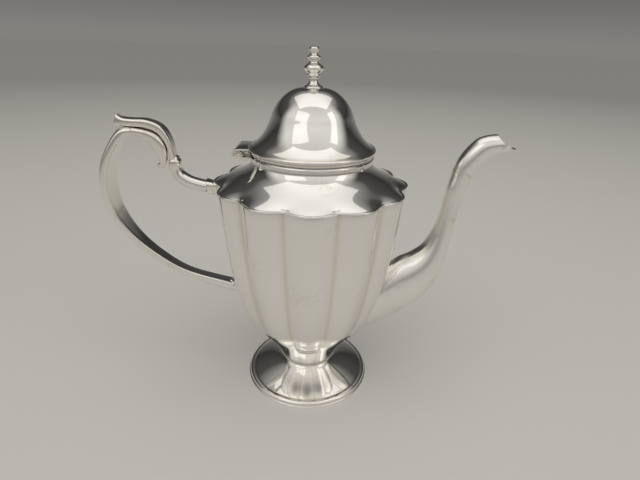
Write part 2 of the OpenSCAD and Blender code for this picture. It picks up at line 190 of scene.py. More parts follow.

# %% [markdown]
# ## The silver
# Electroplated silver, polished by hand: a metal that mirrors nearly all light, a little warm.
# What gives it away as real is what the polish leaves: fine scratches that run one way, a haze
# of yellow-grey tarnish, pin-holes in the plating, and a surface that is not quite true, so that
# reflections waver. Each is one pattern in object coordinates, with its size in millimetres, so
# that it stays the same size on every piece. On top of that, a value stored on the vertices adds
# painted shade: creases, grooves and joins are painted darker and duller in the tarnish colour.

# %% Silver plate
def silver_plate(name, haze, rough, waver, scratch_turn=(0, 0, 0)):
    """Silver plate. haze is how much tarnish shows, waver how uneven the sheet is."""
    silver = bpy.data.materials.new(name)
    silver.use_nodes = True
    tree = silver.node_tree
    shader = tree.nodes["Principled BSDF"]
    shader.inputs["Metallic"].default_value = 1.0
    where = add(tree, "ShaderNodeTexCoord").outputs["Object"]
    # hollow is a value on the vertices: painted shade in creases, grooves and joins, and tarnish on
    # whole pieces
    hollow = add(tree, "ShaderNodeAttribute", {"attribute_name": "hollow"}).outputs["Fac"]

    # clouds of tarnish about 25 mm across, broken up by mottle of 4 mm
    cloud = add(tree, "ShaderNodeTexNoise", i2=1 / 0.025, i3=3.0, i4=0.6, Vector=where)
    mottle = add(tree, "ShaderNodeTexNoise", i2=1 / 0.004, i3=2.0, i4=0.5, Vector=where)
    mixed = add(tree, "ShaderNodeMath", {"operation": "MULTIPLY_ADD"},
                i0=mottle.outputs[0], i1=0.45, i2=cloud.outputs[0]).outputs[0]
    stain = add(tree, "ShaderNodeMapRange", i0=mixed, i1=0.80, i2=1.10, i3=0.0, i4=haze)
    # the painted shade is added to the tarnish clouds: both darken the colour towards brown and
    # dull the polish
    deep = add(tree, "ShaderNodeMath", {"operation": "MULTIPLY_ADD", "use_clamp": True},
               i0=hollow, i1=0.75, i2=stain.outputs[0]).outputs[0]
    colour = ramp(tree, deep, [(0.0, "#F6F4EF"), (0.45, "#E6E0D2"), (1.0, "#9A8A6C")])

    # pin-holes in the plating, 0.4 mm across and several millimetres apart
    pits = add(tree, "ShaderNodeTexVoronoi", {"feature": "F1"}, Vector=where, Scale=1 / 0.005)
    pit = add(tree, "ShaderNodeMapRange", i0=pits.outputs["Distance"], i1=0.025, i2=0.055,
              i3=1.0, i4=0.0)
    few = add(tree, "ShaderNodeMapRange", i0=cloud.outputs[0], i1=0.54, i2=0.60, i3=0.0, i4=0.8)
    speck = add(tree, "ShaderNodeMath", {"operation": "MULTIPLY"},
                i0=pit.outputs[0], i1=few.outputs[0]).outputs[0]
    spotted = add(tree, "ShaderNodeMix", {"data_type": "RGBA"}, i0=speck,
                  i6=colour.outputs[0], i7=srgb("#6E6454"))
    tree.links.new(spotted.outputs[2], shader.inputs["Base Color"])

    # polishing scratches: noise stretched 40 to 1, drawn 0.3 mm wide so that they show
    turned = add(tree, "ShaderNodeMapping", Vector=where, Rotation=scratch_turn,
                 Scale=(1 / 0.0003, 1 / 0.012, 1 / 0.0009))
    marks = add(tree, "ShaderNodeTexNoise", Vector=turned.outputs[0], i2=1.0, i3=1.0, i4=0.4)
    fine = add(tree, "ShaderNodeMapRange", i0=marks.outputs[0], i1=0.60, i2=0.78)
    worn = add(tree, "ShaderNodeMath", {"operation": "MULTIPLY_ADD"},
               i0=mixed, i1=0.06, i2=rough - 0.04).outputs[0]
    gloss = add(tree, "ShaderNodeMath", {"operation": "MULTIPLY_ADD", "use_clamp": True},
                i0=fine.outputs[0], i1=0.05, i2=worn).outputs[0]
    dull = add(tree, "ShaderNodeMath", {"operation": "MULTIPLY_ADD", "use_clamp": True},
               i0=deep, i1=0.16, i2=gloss)
    tree.links.new(dull.outputs[0], shader.inputs["Roughness"])

    # the sheet wavers by a few hundredths of a millimetre over 14 mm
    wave = add(tree, "ShaderNodeTexNoise", i2=1 / 0.014, i3=1.0, i4=0.5, Vector=where)
    swell = add(tree, "ShaderNodeBump", Strength=1.0, Distance=0.00006 * waver,
                Height=wave.outputs[0])
    cut = add(tree, "ShaderNodeBump", Strength=0.35, Distance=0.000012,
              Height=fine.outputs[0], Normal=swell.outputs[0])
    dent = add(tree, "ShaderNodeBump", {"invert": True}, Strength=0.6, Distance=0.00008,
               Height=speck, Normal=cut.outputs[0])
    tree.links.new(dent.outputs[0], shader.inputs["Normal"])
    return silver


sheet_silver = silver_plate("Silver plate on spun sheet", haze=0.32, rough=0.035, waver=1.5)
turned_silver = silver_plate("Silver plate on turned brass", haze=0.22, rough=0.04, waver=0.5)
cast_silver = silver_plate("Silver plate on cast metal", haze=0.25, rough=0.05, waver=1.6,
                           scratch_turn=(0, 0.9, 0))
inner_silver = silver_plate("Silver plate, unpolished inside", haze=0.9, rough=0.22, waver=1.0)
print("four silver finishes")

# %% [markdown]
# ## Brass under the lid
# The washer and nut that hold the finial are plain turned brass. Nobody polishes them, so they
# are brown-yellow, with turning marks round their axis and a duller face.

# %% Brass
def plain_brass(name):
    brass = bpy.data.materials.new(name)
    brass.use_nodes = True
    tree = brass.node_tree
    shader = tree.nodes["Principled BSDF"]
    shader.inputs["Metallic"].default_value = 1.0
    where = add(tree, "ShaderNodeTexCoord").outputs["Object"]
    # turning marks 0.25 mm apart round the stud
    rings = add(tree, "ShaderNodeTexWave", {"wave_type": "RINGS", "rings_direction": "Z"},
                Vector=where, Scale=1 / 0.00025 / 20, Distortion=1.5, Detail=2.0)
    blotch = add(tree, "ShaderNodeTexNoise", i2=1 / 0.003, i3=4.0, i4=0.6, Vector=where)
    colour = ramp(tree, blotch.outputs[0], [(0.3, "#B79A58"), (0.55, "#9C7F44"), (0.8, "#6B5732")])
    rough = add(tree, "ShaderNodeMapRange", i0=blotch.outputs[0], i3=0.22, i4=0.5)
    bump = add(tree, "ShaderNodeBump", Strength=0.3, Distance=0.00002, Height=rings.outputs[1])
    tree.links.new(colour.outputs[0], shader.inputs["Base Color"])
    tree.links.new(rough.outputs[0], shader.inputs["Roughness"])
    tree.links.new(bump.outputs[0], shader.inputs["Normal"])
    return brass


nut_brass = plain_brass("Turned brass, dulled")

# %% [markdown]
# ## Drawing lines
# A spun or turned piece is one line, swept round an axis; a cast handle is one section, drawn
# along a line. So two small functions for lines come first: a Bezier curve for a sweep with
# four control points, and a smooth line through measured points.

# %% Lines
def bezier(p, count):
    """count + 1 points on the cubic Bezier with the four control points p."""
    p = [Vector(v) for v in p]
    out = []
    for i in range(count + 1):
        t = i / count
        out.append(p[0] * (1 - t) ** 3 + p[1] * 3 * t * (1 - t) ** 2
                   + p[2] * 3 * t * t * (1 - t) + p[3] * t ** 3)
    return out


def through(points, steps):
    """A smooth line through all the points (Catmull-Rom), with steps between two of them."""
    last = len(points) - 1
    out = []
    for i in range(last):
        a, b, c, d = (points[max(i - 1, 0)], points[i], points[i + 1], points[min(i + 2, last)])
        for k in range(steps):
            t = k / steps
            out.append([0.5 * (2 * q + (r - p) * t + (2 * p - 5 * q + 4 * r - s) * t * t
                               + (3 * q - p - 3 * r + s) * t ** 3)
                        for p, q, r, s in zip(a, b, c, d)])
    out.append(list(points[last]))
    return out


# %% [markdown]
# ## Turned and spun pieces
# The spin operator does what a lathe does. The line is made of vertices and edges in the plane
# of X and Z; a full spin closes it to a solid of revolution, and merging by distance joins the
# seam and the pole. Faces are smooth, and sharp edges stay sharp by their angle.

# %% Lathe
def finish_piece(name, bm, finish, body, node, sharp=35, wall=0.0):
    """Makes a piece of the mesh: finish is its material, body what it rides on, node the
    engineering piece it takes the place of. Edges over sharp degrees stay sharp. wall is the
    thickness of a sheet in mm: it goes inwards, and its inside is left unpolished."""
    mesh = bpy.data.meshes.new(name)
    bm.to_mesh(mesh)
    bm.free()
    piece = bpy.data.objects.new(name, mesh)
    bpy.context.scene.collection.objects.link(piece)
    mesh.materials.append(finish)
    mesh.shade_smooth()
    if wall:
        skin = piece.modifiers.new("wall", "SOLIDIFY")
        skin.thickness = wall * MM
        skin.offset = -1
        mesh.materials.append(inner_silver)
        skin.material_offset = 1
    if sharp:
        mesh.set_sharp_from_angle(angle=math.radians(sharp))
    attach(piece, body)
    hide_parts(node)
    print(name, len(mesh.polygons), "faces")


def spin_line(line, steps=192, closed=False):
    """A bmesh of the line (radius, height in mm) spun round the upright axis."""
    bm = bmesh.new()
    dots = [bm.verts.new((p[0] * MM, 0, p[1] * MM)) for p in line]
    pairs = list(zip(dots, dots[1:])) + ([(dots[-1], dots[0])] if closed else [])
    edges = [bm.edges.new(pair) for pair in pairs]
    bmesh.ops.spin(bm, geom=dots + edges, cent=(0, 0, 0), axis=(0, 0, 1), dvec=(0, 0, 0),
                   angle=math.tau, steps=steps, use_merge=True, use_duplicate=False)
    bmesh.ops.remove_doubles(bm, verts=bm.verts, dist=1e-7)
    bmesh.ops.recalc_face_normals(bm, faces=bm.faces)
    return bm


def mark_shade_and_tarnish(bm, depth):
    """Stores a value 0 to 1 on each vertex: painted shade in creases, grooves and joins, and
    tarnish.
    """
    layer = bm.verts.layers.float.new("hollow")
    for v in bm.verts:
        v[layer] = max(0.0, min(1.0, depth(v.co)))


def fade(value, start, reach):
    """1 where value is start, falling evenly to 0 at start + reach."""
    return max(0.0, 1 - (value - start) / reach)


def near_height(co, height, reach):
    """1 at a height and 0 from reach mm above or below it."""
    return fade(abs(co.z / MM - height), 0, reach)


def off_axis(co):
    """Distance from the upright axis in mm."""
    return math.hypot(co.x, co.y) / MM


# %% [markdown]
# ## The lobed bowl
# The bowl was spun as a plain vase and then pressed in a former, which folds its wall in along
# twelve creases. The same is done here: the line is spun, then every vertex is drawn in by how
# far it lies from the crown of its lobe. The creases are deepest at the top edge and fade out
# at the waist. The top edge turns in by under a millimetre, where the shoulder is soldered on.

# %% Bowl
WAIST_R, WAIST_Z = 20.5, 16.0
EDGE_R, EDGE_Z = 68.5, 165.0
BOWL_H = EDGE_Z - WAIST_Z
LOBES, LOBE_DEPTH = 12, 5.0
LOBED_STEPS = LOBES * 32
CRISP = 0.02


def crown(angle, soft=CRISP):
    """1 on the crown of a lobe and 0 in the crease; soft rounds the crease's bottom."""
    wave = math.cos(LOBES / 2 * angle)
    top = math.sqrt(1 + soft * soft) - soft
    return ((math.sqrt(wave * wave + soft * soft) - soft) / top) ** 1.25


def draw_in(bm, depth_at, soft_at=lambda radius: CRISP):
    """Moves each vertex in by the crease's depth at its distance from the axis."""
    for v in bm.verts:
        radius = math.hypot(v.co.x, v.co.y)
        if radius > 1e-6:
            angle = math.atan2(v.co.y, v.co.x)
            depth = depth_at(radius / MM) * (1 - crown(angle, soft_at(radius / MM)))
            keep = 1 - depth * MM / radius
            v.co.x *= keep
            v.co.y *= keep


def bowl_crease(radius):
    """Depth of the creases where the crowns have this radius."""
    return LOBE_DEPTH * max(0.0, (radius - WAIST_R) / (EDGE_R - WAIST_R))


bowl_side = bezier([(WAIST_R, WAIST_Z), (0.50 * EDGE_R, WAIST_Z + 0.305 * BOWL_H),
                    (0.835 * EDGE_R, WAIST_Z + 0.06 * BOWL_H), (EDGE_R, EDGE_Z - 0.7)], 80)
bowl_line = [(0, WAIST_Z), (WAIST_R - 0.8, WAIST_Z)] + [tuple(p) for p in bowl_side] \
    + [(EDGE_R - 0.25, EDGE_Z - 0.1)]
bm = spin_line(bowl_line, LOBED_STEPS)
draw_in(bm, bowl_crease)
# painted shade: the creases are painted darker and duller in the tarnish colour
mark_shade_and_tarnish(bm, lambda co: 0.55 * (1 - crown(math.atan2(co.y, co.x))) ** 10)
finish_piece("lobed_bowl", bm, sheet_silver, "pot", "bowl", sharp=50, wall=1.2)

# %% [markdown]
# ## Shoulder and neck
# One spun ring closes the bowl: a hollow curve (a cavetto) rises from the lobed edge to the
# round neck. Its rim is rolled to a fine bead with a groove behind it, which stiffens the edge.
# The rim follows the lobes, and they die out within eighteen millimetres, because the former
# pressed only the rim. The same drawing-in does it, with a depth that falls inwards and a crease
# that opens out, or its sharp bottom would draw a line of light up to the neck. The half-round
# bead below the mouth is a wire of its own, so it is spun from its own outline.

# %% Shoulder
NECK_R, NECK_Z, MOUTH_Z = 41.5, 181.5, 187.0
FOLD_IN, FOLD_OUT = 50, 67      # radius where the folds have died out, and where they are full
OPEN_SOFT, OPEN_WITHIN = 1.2, 14    # how round the crease gets, and within how many mm


def shoulder_crease(radius):
    """Depth of the folds where the crowns have this radius."""
    return LOBE_DEPTH * max(0.0, min(1.0, (radius - FOLD_IN) / (FOLD_OUT - FOLD_IN))) ** 2.4


def shoulder_soft(radius):
    """The fold is crisp at the rim and opens out inwards."""
    return CRISP + OPEN_SOFT * max(0.0, min(1.0, (FOLD_OUT - radius) / OPEN_WITHIN))


shoulder_side = bezier([(EDGE_R - 1.6, EDGE_Z + 0.65), (EDGE_R - 10, EDGE_Z + 4.8),
                        (NECK_R + 4, EDGE_Z + 7.4), (NECK_R, NECK_Z)], 48)
rolled_rim = through([(EDGE_R - 0.5, EDGE_Z - 0.25), (EDGE_R + 0.1, EDGE_Z - 0.2),
                      (EDGE_R + 0.4, EDGE_Z + 0.2), (EDGE_R + 0.1, EDGE_Z + 0.65),
                      (EDGE_R - 0.6, EDGE_Z + 0.75), (EDGE_R - 1.2, EDGE_Z + 0.5)], 3)
bm = spin_line(rolled_rim + [tuple(p) for p in shoulder_side]
               + [(NECK_R, 183.5), (NECK_R, MOUTH_Z)], LOBED_STEPS)
draw_in(bm, shoulder_crease, shoulder_soft)
# painted shade in the groove just below the neck bead
mark_shade_and_tarnish(bm, lambda co: 0.6 * near_height(co, 182.6, 1.2))
finish_piece("lobed_shoulder", bm, sheet_silver, "pot", "shoulder", sharp=40, wall=0.9)

# %% Neck bead
BEAD_R, BEAD_Z = 1.6, 184.7
bead_line = [(NECK_R - 0.1 + BEAD_R * math.cos(a), BEAD_Z + BEAD_R * math.sin(a))
             for a in [math.radians(d) for d in range(-90, 91, 10)]]
bm = spin_line(bead_line + [(NECK_R - 0.2, 186.3), (NECK_R - 0.2, 183.1)], closed=True)
# painted shade where the bead meets the neck wall
mark_shade_and_tarnish(bm, lambda co: 0.6 * fade(off_axis(co), NECK_R, 0.5))
finish_piece("neck_bead_ring", bm, turned_silver, "pot", "neck_bead")

# %% [markdown]
# ## The foot
# A spun trumpet with a band of thicker wire round its edge, so that it stands flat and doesn't
# dent. The band has a thin flange on the table and a rounded top, with a fine step between.

# %% Foot and its band
FOOT_R = 49.5
foot_side = bezier([(FOOT_R - 5.0, 4.4), (FOOT_R - 14, 8.4), (WAIST_R + 3, 12.0),
                    (WAIST_R, WAIST_Z)], 48)
bm = spin_line([(FOOT_R - 5.1, 0.6)] + [tuple(p) for p in foot_side]
               + [(WAIST_R - 0.6, WAIST_Z + 0.1), (0, WAIST_Z + 0.1)], 288)
# painted shade where the foot meets the bowl and where it meets its band
mark_shade_and_tarnish(bm, lambda co: 0.7 * near_height(co, WAIST_Z, 0.9) + 0.6 * near_height(co, 4.2, 0.9))
finish_piece("spun_foot", bm, sheet_silver, "pot", "foot", wall=1.0)

band_line = through([(44.4, 0.0), (49.2, 0.0), (49.5, 0.3), (49.5, 0.8), (49.2, 1.1),
                     (48.7, 1.3), (48.7, 2.6), (48.2, 3.6), (47.0, 4.25), (45.6, 4.4),
                     (44.4, 4.1)], 3)
bm = spin_line(band_line, 288, closed=True)
# painted shade in the step between the band's flange and its rounded top
mark_shade_and_tarnish(bm, lambda co: 0.8 * near_height(co, 1.3, 0.35))
finish_piece("foot_ring", bm, turned_silver, "pot", "foot_band", sharp=60)

# %% [markdown]
# ## The lid
# The dome is an ogee: it flares out at the rim, hollow below and round above. It was spun in
# one piece and soldered to a rim of half-round wire, and a collar inside keeps it centred.

# %% Lid dome, rim and collar
LID_R, LID_Z, DOME_Z, TOP_Z = 44.0, 187.3, 191.1, 229.1
RIM_R = 1.35
SEAT_R = LID_R - RIM_R
bend_r, bend_z, lean = 27.5, DOME_Z + 20.5, 0.34    # where hollow turns to round, and its slope
dome_side = bezier([(SEAT_R, DOME_Z), (SEAT_R - 5, DOME_Z + 2),
                    (bend_r + lean * 12.5, bend_z - 12.5), (bend_r, bend_z)], 36)[:-1] \
    + bezier([(bend_r, bend_z), (bend_r - lean * 9.2, bend_z + 9.2),
              (0.36 * LID_R, TOP_Z), (6.6, TOP_Z)], 36)
bm = spin_line([tuple(p) for p in dome_side] + [(0, TOP_Z)], 288)
# painted shade where the dome meets its rim and round the foot of the finial
mark_shade_and_tarnish(bm, lambda co: 0.6 * fade(co.z / MM, DOME_Z, 1.2) + 0.5 * fade(off_axis(co), 6.0, 2.0))
finish_piece("ogee_dome", bm, sheet_silver, "lid", "lid_dome", wall=1.0)

rim_arc = [(SEAT_R + RIM_R * math.cos(a), 189.75 + RIM_R * math.sin(a))
           for a in [math.radians(d) for d in range(-80, 91, 10)]]
bm = spin_line([(38.6, LID_Z), (43.0, LID_Z), (43.2, LID_Z + 0.2), (43.2, LID_Z + 0.8),
                (43.0, LID_Z + 1.05)] + rim_arc + [(41.0, 191.1), (38.6, 191.0)], 288, closed=True)
# painted shade in the step under the round of the rim wire
mark_shade_and_tarnish(bm, lambda co: 0.8 * near_height(co, 188.4, 0.35))
finish_piece("lid_rim_wire", bm, turned_silver, "lid", "lid_rim")

bm = spin_line([(39.5, LID_Z + 0.1), (39.5, 181.6), (39.2, 181.3), (38.8, 181.3),
                (38.5, 181.6), (38.5, LID_Z + 0.1)], 192, closed=True)
mark_shade_and_tarnish(bm, lambda co: 0.3)
finish_piece("lid_collar", bm, inner_silver, "lid", "lid_bezel")

# %% [markdown]
# ## The finial
# A little turned baluster with a stud that passes through the dome, held by a washer and nut.
# Its beads and hollows come from one smooth line through the radii that a calliper would find.

# %% Finial
finial_marks = [(6.3, 0), (6.3, 0.5), (5.7, 1.1), (4.2, 1.9), (3.3, 3.2), (2.95, 5.0),
                (3.2, 6.4), (4.3, 7.3), (4.5, 7.9), (4.2, 8.6), (4.6, 9.4), (5.8, 10.4),
                (6.5, 11.7), (6.2, 12.9), (5.0, 13.9), (3.6, 14.8), (3.0, 15.8), (3.25, 17.0),
                (4.2, 17.9), (4.5, 18.5), (4.1, 19.2), (2.8, 19.9), (2.35, 20.8), (2.5, 21.7),
                (3.05, 22.5), (3.25, 23.3), (2.9, 24.3), (1.7, 24.85), (0, 25.0)]
finial_line = [(max(p[0], 0), TOP_Z + p[1]) for p in through(finial_marks, 4)]
stud_line = [(0, 223.7), (1.7, 223.7), (2.0, 224.0), (2.0, TOP_Z - 0.1)]
bm = spin_line(stud_line + finial_line, 96)
# painted shade in the finial's narrow necks and on its stud
mark_shade_and_tarnish(bm, lambda co: 0.5 * fade(off_axis(co), 2.2, 1.4))
finish_piece("turned_finial", bm, turned_silver, "lid", "finial")

# %% [markdown]
# ## Sections drawn along a line
# The handle is cast, and its section changes along its length: broad and flat where the hand
# holds it, narrow at the ends. A ring with the section's outline is extruded again and again,
# and each new ring is moved, turned and scaled to its station, which is what a drawing with
# cross-sections tells a pattern maker. The ends are closed by rings that shrink to a dome.

# %% Drawing a section along stations
def strap_section(angle, outer=0.80, inner=0.42, dish=0.14, groove=0.0):
    """Outline of a strap: across the thickness (x, outwards) and the width (y), each -1 to 1.
    A lower outer or inner squares that side; dish hollows the inner face, groove the outer."""
    c, s = math.cos(angle), math.sin(angle)
    square = outer if c > 0 else inner
    x = math.copysign(abs(c) ** square, c)
    y = math.copysign(abs(s) ** square, s)
    if c > 0:
        return x * (1 - groove * math.exp(-(y / 0.3) ** 2)), y
    return x * (1 - dish * (1 - y * y)), y


def station_matrix(before, here, after):
    """Place and size of the ring at a station (x, z, half thickness, half width), in mm."""
    along = Vector((after[0] - before[0], 0, after[1] - before[1])).normalized()
    out = Vector((-along.z, 0, along.x))
    wide = Vector((0, 1, 0))
    m = Matrix.Identity(4)
    for row in range(3):
        m[row][0] = out[row] * here[2] * MM
        m[row][1] = wide[row] * here[3] * MM
        m[row][2] = along[row] * MM
        m[row][3] = (here[0] * MM, 0, here[1] * MM)[row]
    return m


def draw_bar(stations, steps=6, sides=64, caps=(0.5, 0.5), **shape):
    """A bmesh of the section drawn through the stations; caps are how far its ends dome out."""
    line = through(stations, steps)
    mats = [station_matrix(line[max(i - 1, 0)], line[i], line[min(i + 1, len(line) - 1)])
            for i in range(len(line))]
    domes = [math.radians(d) for d in (80, 60, 40, 20)]
    first = [mats[0] @ Matrix.Translation((0, 0, -caps[0] * line[0][2] * math.sin(a)))
             @ Matrix.Diagonal((math.cos(a), math.cos(a), 1, 1)) for a in domes]
    last = [mats[-1] @ Matrix.Translation((0, 0, caps[1] * line[-1][2] * math.sin(a)))
            @ Matrix.Diagonal((math.cos(a), math.cos(a), 1, 1)) for a in reversed(domes)]
    mats = first + mats + last
    bm = bmesh.new()
    bmesh.ops.create_circle(bm, segments=sides, radius=1.0)
    for v in bm.verts:
        v.co.x, v.co.y = strap_section(math.atan2(v.co.y, v.co.x), **shape)
    ring = list(bm.edges)
    bmesh.ops.transform(bm, matrix=mats[0], verts=bm.verts)
    start = ring
    for before, here in zip(mats, mats[1:]):
        made = bmesh.ops.extrude_edge_only(bm, edges=ring)["geom"]
        verts = [g for g in made if isinstance(g, bmesh.types.BMVert)]
        ring = [g for g in made if isinstance(g, bmesh.types.BMEdge)
                and all(v in verts for v in g.verts)]
        bmesh.ops.transform(bm, matrix=here @ before.inverted(), verts=verts)
    bmesh.ops.contextual_create(bm, geom=start)
    bmesh.ops.contextual_create(bm, geom=ring)
    bmesh.ops.recalc_face_normals(bm, faces=bm.faces)
    return bm


# %% [markdown]
# ## The handle
# It has four cast parts: the loop, which the fingers go through, its volute that curls in under
# the crest, the thumb scroll on top with a flared tip, and the S-shaped arm back to the bowl.
# Each is drawn along its own stations, and they meet in soldered joints.

# %% Where the handle and the spout meet the bowl
def bowl_radius(height):
    """Radius of the bowl over its crowns at a height in mm."""
    for low, high in zip(bowl_side, bowl_side[1:]):
        if height <= high[1]:
            return low[0] + (high[0] - low[0]) * (height - low[1]) / (high[1] - low[1])
    return EDGE_R


def on_bowl(y, z, side):
    """The point of the bowl's skin at y and z (mm) on the side +1 (spout) or -1 (handle)."""
    radius = bowl_radius(z)
    angle = math.asin(max(-1, min(1, y / radius)))
    inner = radius - bowl_crease(radius) * (1 - crown(angle))
    return Vector((side * math.sqrt(max(inner ** 2 - y ** 2, 1)), y, z))


def draw_rings(rings, steps):
    """A bmesh skin through the rings: one circle, extruded and put on ring after ring."""
    paths = [through([tuple(ring[k]) for ring in rings], steps) for k in range(len(rings[0]))]
    bm = bmesh.new()
    bmesh.ops.create_circle(bm, segments=len(paths), radius=1.0)
    ring_verts, ring_edges = list(bm.verts), list(bm.edges)
    for v, path in zip(ring_verts, paths):
        v.co = Vector(path[0]) * MM
    for level in range(1, len(paths[0])):
        made = bmesh.ops.extrude_edge_only(bm, edges=ring_edges)["geom"]
        fresh = {g for g in made if isinstance(g, bmesh.types.BMVert)}
        ring_edges = [g for g in made if isinstance(g, bmesh.types.BMEdge)
                      and all(v in fresh for v in g.verts)]
        ring_verts = [next(e.other_vert(v) for e in v.link_edges if e.other_vert(v) in fresh)
                      for v in ring_verts]
        for v, path in zip(ring_verts, paths):
            v.co = Vector(path[level]) * MM
    bmesh.ops.recalc_face_normals(bm, faces=bm.faces)
    return bm


# %% Handle parts
LOW_Z, HIGH_Z = 79.0, 159.0
LOW_X, HIGH_X = -bowl_radius(LOW_Z), -bowl_radius(HIGH_Z)


def grip(rows):
    """Stations as (out from the upper root, up from the lower root, thickness, width)."""
    return [(HIGH_X - out, LOW_Z + up, thick, wide) for out, up, thick, wide in rows]


loop_stations = [(LOW_X - 4.5, LOW_Z + 0.5, 4.4, 5.2)] + grip([
    (24.5, 11.0, 3.2, 4.8), (45.5, 24.5, 3.2, 5.6), (61.8, 40.3, 3.6, 7.0),
    (72.6, 59.0, 3.7, 8.8), (76.0, 79.5, 3.4, 10.0), (73.6, 96.8, 3.3, 9.6),
    (66.4, 110.4, 3.3, 8.4), (59.6, 118.2, 3.4, 7.4), (53.0, 119.4, 2.8, 6.4)])
bm = draw_bar(loop_stations)
mark_shade_and_tarnish(bm, lambda co: 0.1)
finish_piece("handle_strap", bm, cast_silver, "pot", "handle_loop", sharp=0)

bm = draw_bar(grip([(52.8, 119.4, 2.8, 6.4), (45.0, 118.0, 3.2, 6.4), (39.6, 114.6, 4.6, 6.2),
                    (36.3, 109.6, 4.8, 5.8), (34.6, 104.4, 3.8, 5.2), (34.6, 99.6, 2.7, 4.6),
                    (35.6, 96.4, 2.0, 4.0), (37.8, 95.8, 1.6, 3.6)]),
              caps=(0.5, 1.0), outer=0.6, inner=0.6, dish=0.1)
mark_shade_and_tarnish(bm, lambda co: 0.2)
finish_piece("curled_volute", bm, cast_silver, "pot", "handle_volute", sharp=0)

bm = draw_bar(grip([(63.6, 126.4, 4.2, 2.9), (61.6, 125.8, 3.4, 3.6), (58.0, 125.2, 2.8, 4.6),
                    (52.0, 124.9, 2.7, 5.1), (43.0, 124.4, 2.9, 5.2), (34.6, 120.8, 2.9, 5.2),
                    (29.8, 113.0, 2.3, 5.0), (28.1, 105.0, 2.0, 4.7), (27.8, 100.2, 2.2, 4.5)]),
              caps=(-0.35, 0.8), outer=0.5, inner=0.55, dish=0.0, groove=0.22)
mark_shade_and_tarnish(bm, lambda co: 0.15)
finish_piece("thumb_rest", bm, cast_silver, "pot", "thumb_scroll", sharp=0)

bm = draw_bar(grip([(26.5, 101.2, 2.6, 4.2), (26.7, 99.4, 4.0, 5.0), (27.1, 96.6, 4.3, 5.2),
                    (26.6, 93.0, 3.8, 5.0), (24.4, 88.6, 4.0, 5.2), (18.6, 84.6, 4.1, 5.2),
                    (12.4, 82.6, 4.0, 5.2)])
              + [(HIGH_X - 6.0, HIGH_Z + 1.2, 4.0, 5.2)],
              caps=(0.7, 0.3), outer=0.8, inner=0.7, dish=0.0)
mark_shade_and_tarnish(bm, lambda co: 0.15)
finish_piece("s_arm", bm, cast_silver, "pot", "handle_arm", sharp=0)

# %% [markdown]
# ## Where the handle is soldered on
# Two cast seats spread the pull of a full pot over the thin bowl. The upper one is a squared
# collar; the lower one flares out into two points, above and below. Their first ring lies on
# the bowl's own skin, so that no gap shows, and the next ones step out along the handle.

# %% Upper collar and lower seat
def seat_ring(wide, high, squash, out, lift, z, count=48):
    """A ring around the handle, out mm from the bowl. squash under 1 squares it."""
    ring = []
    for k in range(count):
        s, c = math.sin(math.tau * k / count), math.cos(math.tau * k / count)
        ring.append(on_bowl(wide * math.copysign(abs(s) ** squash, s),
                            z + high * math.copysign(abs(c) ** min(squash, 1), c), -1)
                    + Vector((-out, 0, lift)))
    return ring


bm = draw_rings([seat_ring(w, h, 0.5, out, lift, HIGH_Z + 0.3) for w, h, out, lift in (
    (6.4, 5.5, -0.7, 0), (6.4, 5.5, 0.3, 0), (6.3, 5.4, 0.9, 0), (5.7, 4.8, 1.3, 0.1),
    (5.6, 4.7, 3.6, 0.5), (5.7, 4.8, 5.2, 0.8), (5.9, 5.0, 5.9, 0.9), (5.6, 4.7, 6.3, 0.9),
    (4.6, 3.6, 6.4, 0.9))], 2)
# painted shade in the step near the bowl where the collar narrows
mark_shade_and_tarnish(bm, lambda co: 0.5 * fade(abs(-co.x / MM + HIGH_X - 1.3), 0, 0.8))
finish_piece("squared_collar", bm, cast_silver, "pot", "handle_ferrule", sharp=50)

bm = draw_rings([seat_ring(w, h, 1.5 - 0.5 * k / 5, out, lift, LOW_Z)
                 for k, (w, h, out, lift) in enumerate((
                     (7.2, 9.4, -0.7, 0), (7.2, 9.4, 0.2, 0), (6.6, 8.4, 0.9, 0),
                     (5.9, 6.4, 2.0, 0.2), (5.4, 5.2, 3.4, 0.3), (5.3, 4.8, 4.9, 0.5)))], 3)
# painted shade where the seat meets the bowl
mark_shade_and_tarnish(bm, lambda co: 0.4 * fade(abs(-co.x / MM + LOW_X), 0, 1.0))
finish_piece("flared_seat", bm, cast_silver, "pot", "handle_mount", sharp=0)

# %% [markdown]
# ## The spout
# The swan-neck spout was made of two pressed halves with a seam. It is wide and deep where it
# joins the bowl, narrows to a throat, and ends in a beak with a sharp lip. Every ring is given
# by its upper and its lower point, because that is how its side view is measured, and by its
# half width. The mouth is cut hollow, from the top down to the lip.

# %% Spout
ROOT_Z = 68.0
ROOT_X = bowl_radius(ROOT_Z)
# upper point, lower point (each x and z from the root) and half width
spout_stations = [
    (16.5, 37.5, 2.0, -19.0, 13.8), (26.0, 42.5, 25.0, -4.5, 12.8), (34.5, 50.0, 42.0, 13.0, 11.2),
    (40.5, 62.5, 50.0, 33.0, 8.8), (43.5, 74.0, 52.6, 54.0, 6.9), (45.0, 84.0, 55.0, 75.0, 5.8),
    (46.8, 97.5, 58.2, 92.5, 5.8), (51.5, 116.0, 62.6, 108.0, 6.2), (60.5, 128.5, 70.5, 118.5, 6.5),
    (67.5, 132.2, 77.5, 122.2, 6.6), (74.8, 133.4, 89.2, 124.8, 5.8)]


